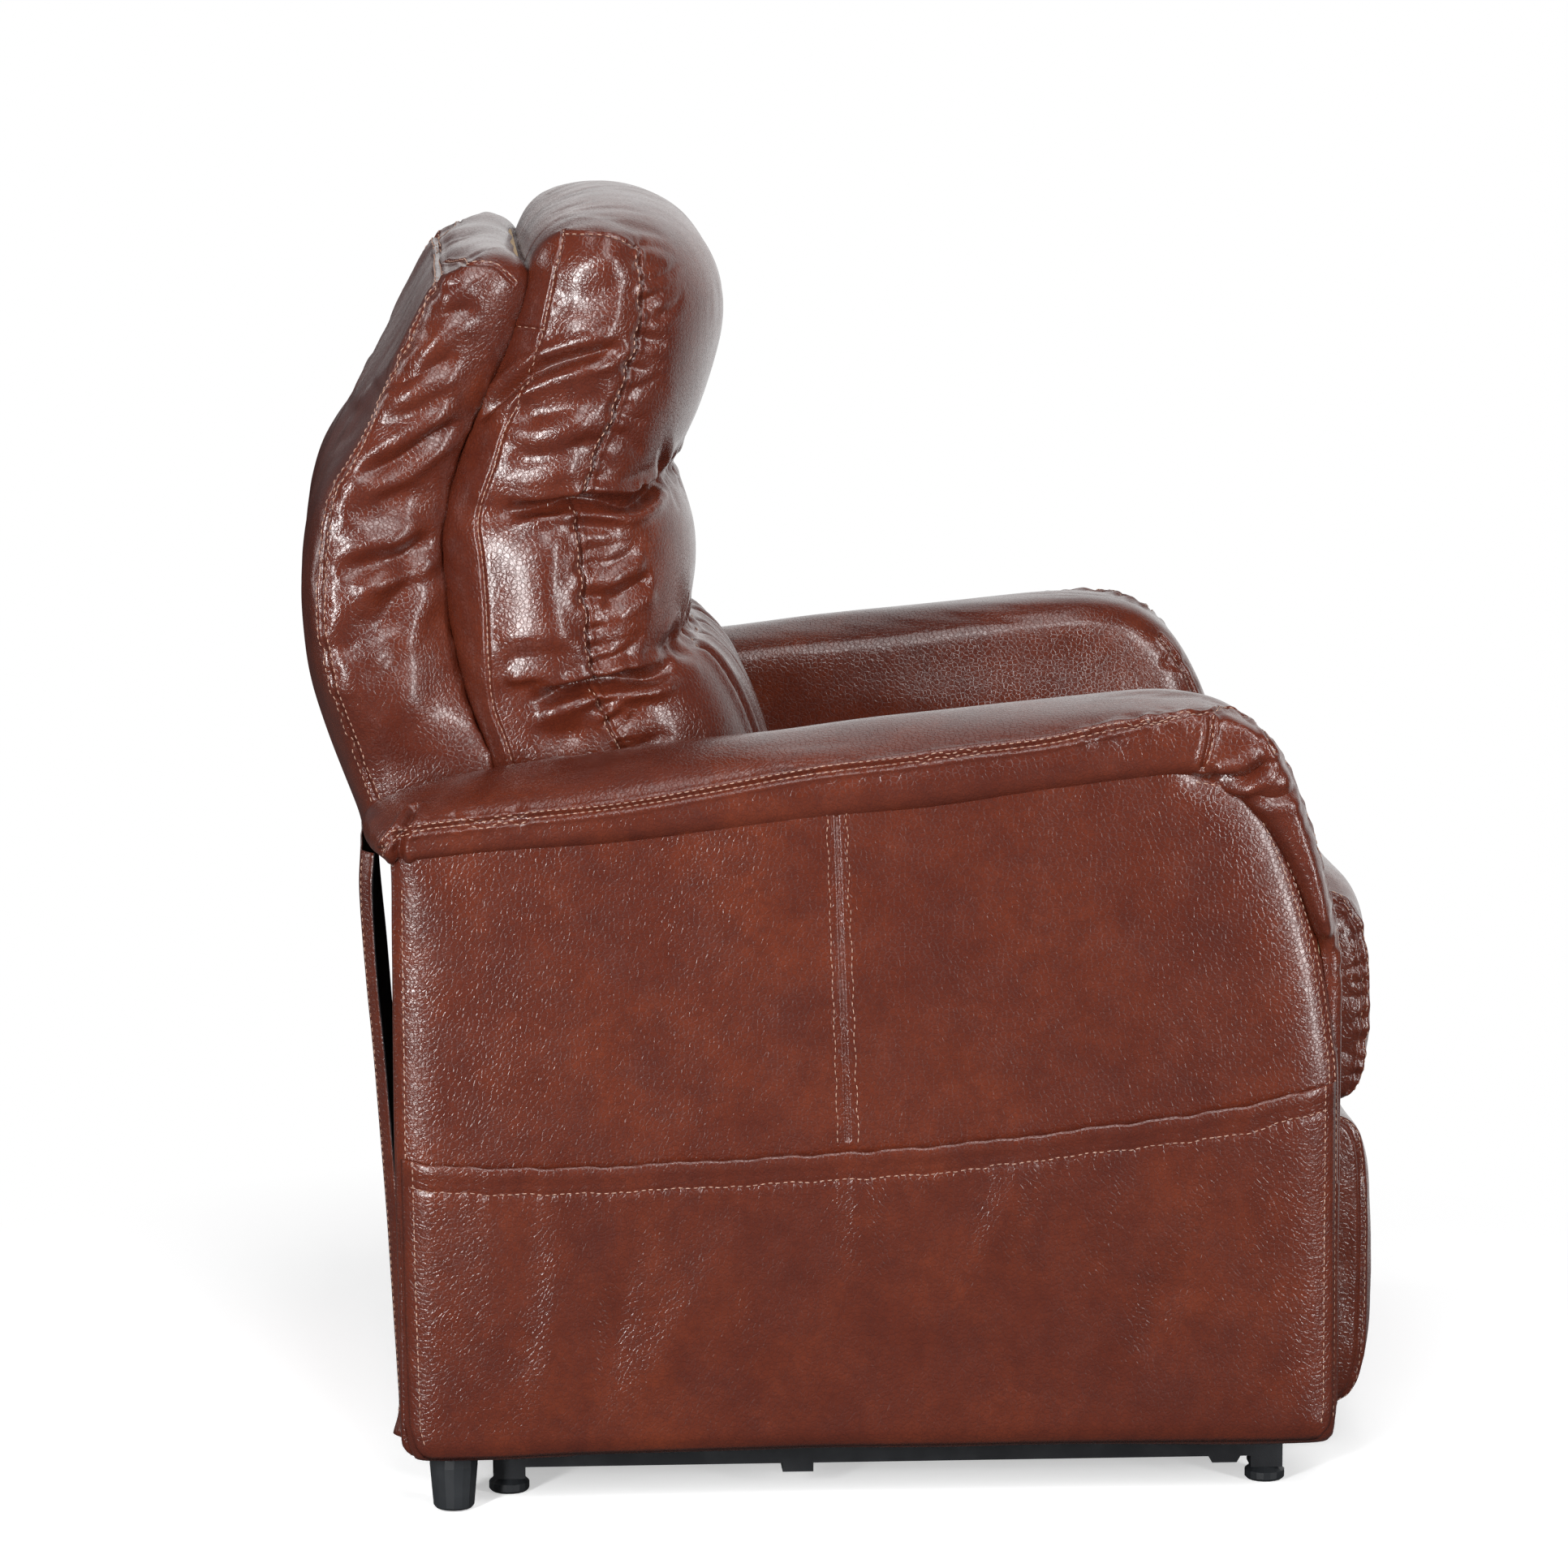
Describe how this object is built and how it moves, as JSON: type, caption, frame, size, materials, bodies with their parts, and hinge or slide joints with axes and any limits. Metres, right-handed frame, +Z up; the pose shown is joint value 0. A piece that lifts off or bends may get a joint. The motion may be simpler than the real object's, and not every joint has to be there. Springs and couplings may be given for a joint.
{
  "type": "lift recliner chair",
  "caption": "Power lift recliner chair: padded arms and side pockets, stacked pillow back, folding footrest and a base whose linkage raises and tips the seat.",
  "frame": {"origin": "centre of the footprint on the floor", "axes": "+Z up, the chair faces -Y, +X is the occupant's left"},
  "size_m": [0.853, 0.911, 1.083],
  "materials": {
    "leather": "glossy, fine pebble grain",
    "leather_inner": "satin, fine pebble grain",
    "ply": "bare plywood",
    "frame_steel": "black powder coat",
    "rod_steel": "zinc plated",
    "black_plastic": "fine texture",
    "button_grey": "satin"
  },
  "bodies": {
    "base": {"base_rail_right": "frame_steel", "base_rail_left": "frame_steel", "glide_front_right": "black_plastic", "glide_front_left": "black_plastic", "glide_rear_right": "black_plastic", "glide_rear_left": "black_plastic", "base_cross_front": "frame_steel", "base_cross_rear": "frame_steel", "control_box": "black_plastic"},
    "lift_arms": {"lift_arm_right": "frame_steel", "lift_arm_left": "frame_steel", "lift_torque_tube": "frame_steel"},
    "guide_links": {"guide_link_right": "frame_steel", "guide_link_left": "frame_steel"},
    "lift_drive_motor": {"lift_drive_motor": "black_plastic"},
    "lift_drive_rod": {"lift_drive_rod": "rod_steel"},
    "chair": {"side_plate_right": "frame_steel", "side_plate_left": "frame_steel", "carriage_cross_front": "frame_steel", "carriage_cross_rear": "frame_steel", "seat_deck": "ply", "seat_cushion": "leather", "arm_frame_right": "ply", "arm_frame_left": "ply", "side_panel_right": "leather", "side_panel_left": "leather", "arm_lining_right": "leather_inner", "arm_lining_left": "leather_inner", "arm_pad_right": "leather", "arm_pad_left": "leather", "side_pocket_right": "leather", "side_pocket_left": "leather", "rear_leg_right": "black_plastic", "rear_leg_left": "black_plastic", "rear_skirt": "leather"},
    "back": {"back_panel": "ply", "back_bracket_right": "frame_steel", "back_bracket_left": "frame_steel", "back_shell": "leather", "pillow_head": "leather", "pillow_middle": "leather", "pillow_low": "leather"},
    "foot_front_links": {"foot_front_link_right": "frame_steel", "foot_front_link_left": "frame_steel"},
    "foot_rear_links": {"foot_rear_link_right": "frame_steel", "foot_rear_link_left": "frame_steel", "foot_torque_tube": "frame_steel"},
    "foot_reach_links": {"foot_reach_link_right": "frame_steel", "foot_reach_link_left": "frame_steel"},
    "foot_guide_links": {"foot_guide_link_right": "frame_steel", "foot_guide_link_left": "frame_steel"},
    "footrest": {"foot_bracket_right": "frame_steel", "foot_bracket_left": "frame_steel", "foot_board": "ply", "footrest_pad": "leather"},
    "foot_drive_motor": {"foot_drive_motor": "black_plastic"},
    "foot_drive_rod": {"foot_drive_rod": "rod_steel"},
    "handset": {"handset_shell": "black_plastic"},
    "button_up": {"handset_button_up": "button_grey"},
    "button_down": {"handset_button_down": "button_grey"}
  },
  "joints": [
    {"name": "lift", "type": "hinge", "parent": "base", "child": "lift_arms", "pos_m": [0, -0.22, 0.105], "axis": [1, 0, 0], "range_deg": [0, 60]},
    {"name": "lift_tilt", "type": "hinge", "parent": "lift_arms", "child": "chair", "pos_m": [0, 0.148, 0.1437], "axis": [1, 0, 0], "range_deg": [-37.8, 0.6]},
    {"name": "lift_guide", "type": "hinge", "parent": "base", "child": "guide_links", "pos_m": [0, -0.277, 0.0971], "axis": [1, 0, 0], "range_deg": [-0.6, 65.54]},
    {"name": "lift_drive_swing", "type": "hinge", "parent": "base", "child": "lift_drive_motor", "pos_m": [0, 0.262, 0.062], "axis": [1, 0, 0], "range_deg": [-0.6, 1.2]},
    {"name": "lift_drive_stroke", "type": "slide", "parent": "lift_drive_motor", "child": "lift_drive_rod", "axis": [0, -0.9807, 0.1956], "range_m": [-0.001, 0.056]},
    {"name": "recline", "type": "hinge", "parent": "chair", "child": "back", "pos_m": [0, 0.2, 0.345], "axis": [1, 0, 0], "range_deg": [-38, 0], "deforming": ["rear_skirt"]},
    {"name": "footrest_open", "type": "hinge", "parent": "chair", "child": "foot_rear_links", "pos_m": [0, -0.314, 0.266], "axis": [1, 0, 0], "range_deg": [-90, 0]},
    {"name": "foot_front_swing", "type": "hinge", "parent": "chair", "child": "foot_front_links", "pos_m": [0, -0.352, 0.29], "axis": [1, 0, 0], "range_deg": [-90.6, 0.6]},
    {"name": "foot_reach_swing", "type": "hinge", "parent": "foot_front_links", "child": "foot_reach_links", "pos_m": [0, -0.292, 0.122], "axis": [1, 0, 0], "range_deg": [-0.6, 90.6]},
    {"name": "foot_guide_swing", "type": "hinge", "parent": "foot_front_links", "child": "foot_guide_links", "pos_m": [0, -0.258, 0.066], "axis": [1, 0, 0], "range_deg": [-0.6, 90.6]},
    {"name": "footrest_turn", "type": "hinge", "parent": "foot_reach_links", "child": "footrest", "pos_m": [0, -0.374, 0.26], "axis": [1, 0, 0], "range_deg": [-90.6, 0.6]},
    {"name": "foot_drive_swing", "type": "hinge", "parent": "chair", "child": "foot_drive_motor", "pos_m": [0, 0.15, 0.225], "axis": [1, 0, 0], "range_deg": [-0.6, 1.8]},
    {"name": "foot_drive_stroke", "type": "slide", "parent": "foot_drive_motor", "child": "foot_drive_rod", "axis": [0, -0.9997, 0.026], "range_m": [-0.001, 0.0595]},
    {"name": "handset_lift_out", "type": "slide", "parent": "chair", "child": "handset", "axis": [0, 0, 1], "range_m": [0, 0.15]},
    {"name": "button_up_press", "type": "slide", "parent": "handset", "child": "button_up", "axis": [-1, 0, 0], "range_m": [0, 0.0015], "stiffness_N_per_m": 900, "springref_m": -0.0005},
    {"name": "button_down_press", "type": "slide", "parent": "handset", "child": "button_down", "axis": [-1, 0, 0], "range_m": [0, 0.0015], "stiffness_N_per_m": 900, "springref_m": -0.0005}
  ],
  "couplings": [
    {"joint": "lift_tilt", "follows": "lift", "ratio": -0.62},
    {"joint": "lift_guide", "follows": "lift", "ratio": 1.0823},
    {"joint": "lift_drive_swing", "follows": "lift", "ratio": 0.010577},
    {"joint": "lift_drive_stroke", "follows": "lift", "m_per_rad": 0.051614},
    {"joint": "foot_front_swing", "follows": "footrest_open", "ratio": 1},
    {"joint": "foot_reach_swing", "follows": "footrest_open", "ratio": -1},
    {"joint": "foot_guide_swing", "follows": "footrest_open", "ratio": -1},
    {"joint": "footrest_turn", "follows": "footrest_open", "ratio": 1},
    {"joint": "foot_drive_swing", "follows": "footrest_open", "ratio": -0.012982},
    {"joint": "foot_drive_stroke", "follows": "footrest_open", "m_per_rad": -0.036783}
  ]
}
